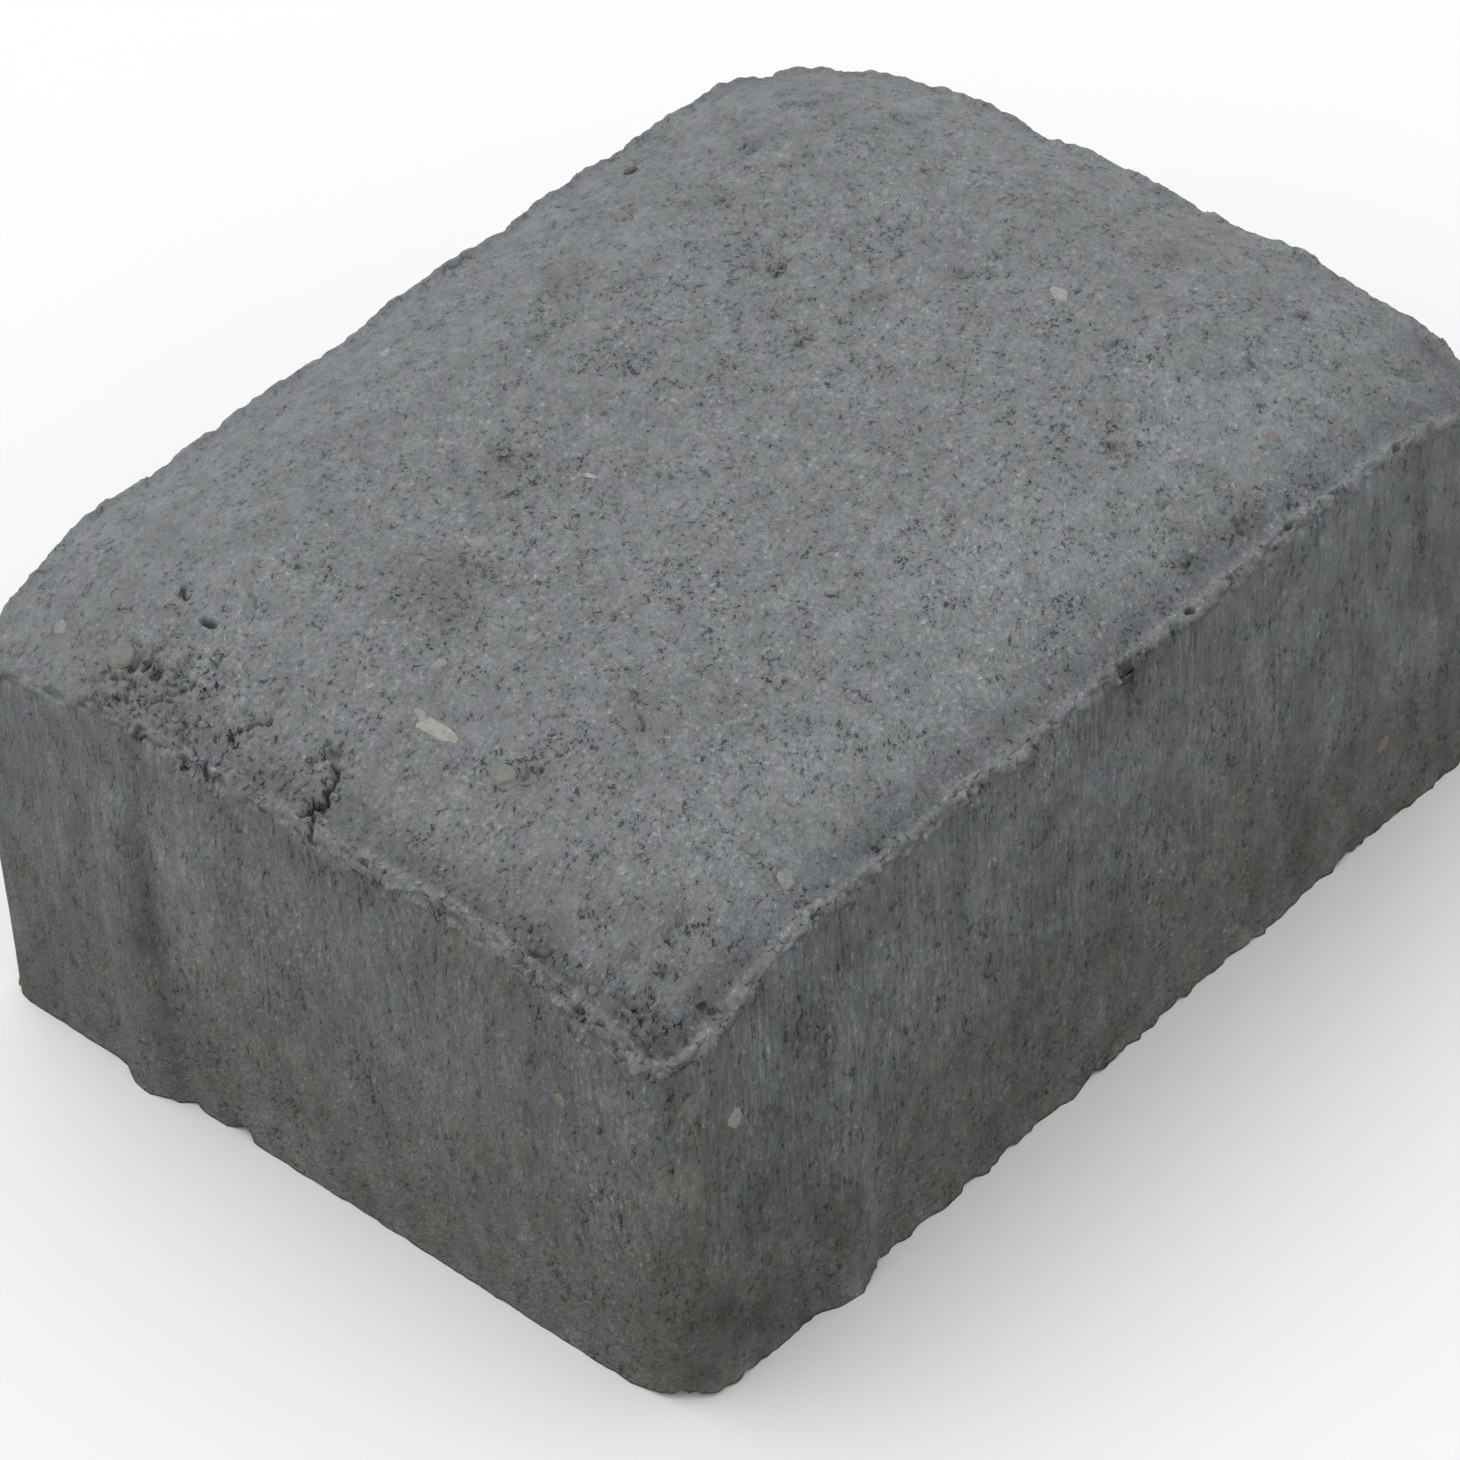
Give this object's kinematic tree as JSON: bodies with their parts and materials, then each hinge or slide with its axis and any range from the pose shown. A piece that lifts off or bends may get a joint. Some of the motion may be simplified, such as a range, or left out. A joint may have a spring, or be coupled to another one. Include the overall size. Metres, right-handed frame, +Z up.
{
  "type": "concrete paving stone",
  "caption": "Pressed concrete paving stone with a pillowed top, a thin moulding lip and an upright spacer rib on each wall.",
  "frame": {"origin": "middle of the flat bedding face that the stone lies on", "axes": "+X along the long walls, +Y along the short walls, +Z up out of the bedding face towards the pillowed top"},
  "size_m": [0.161, 0.121, 0.0699],
  "materials": {
    "concrete": "rough cast grey concrete, fine sandy grain with small pits and stone chips"
  },
  "bodies": {
    "root": {"paving_stone": "concrete"}
  },
  "joints": []
}
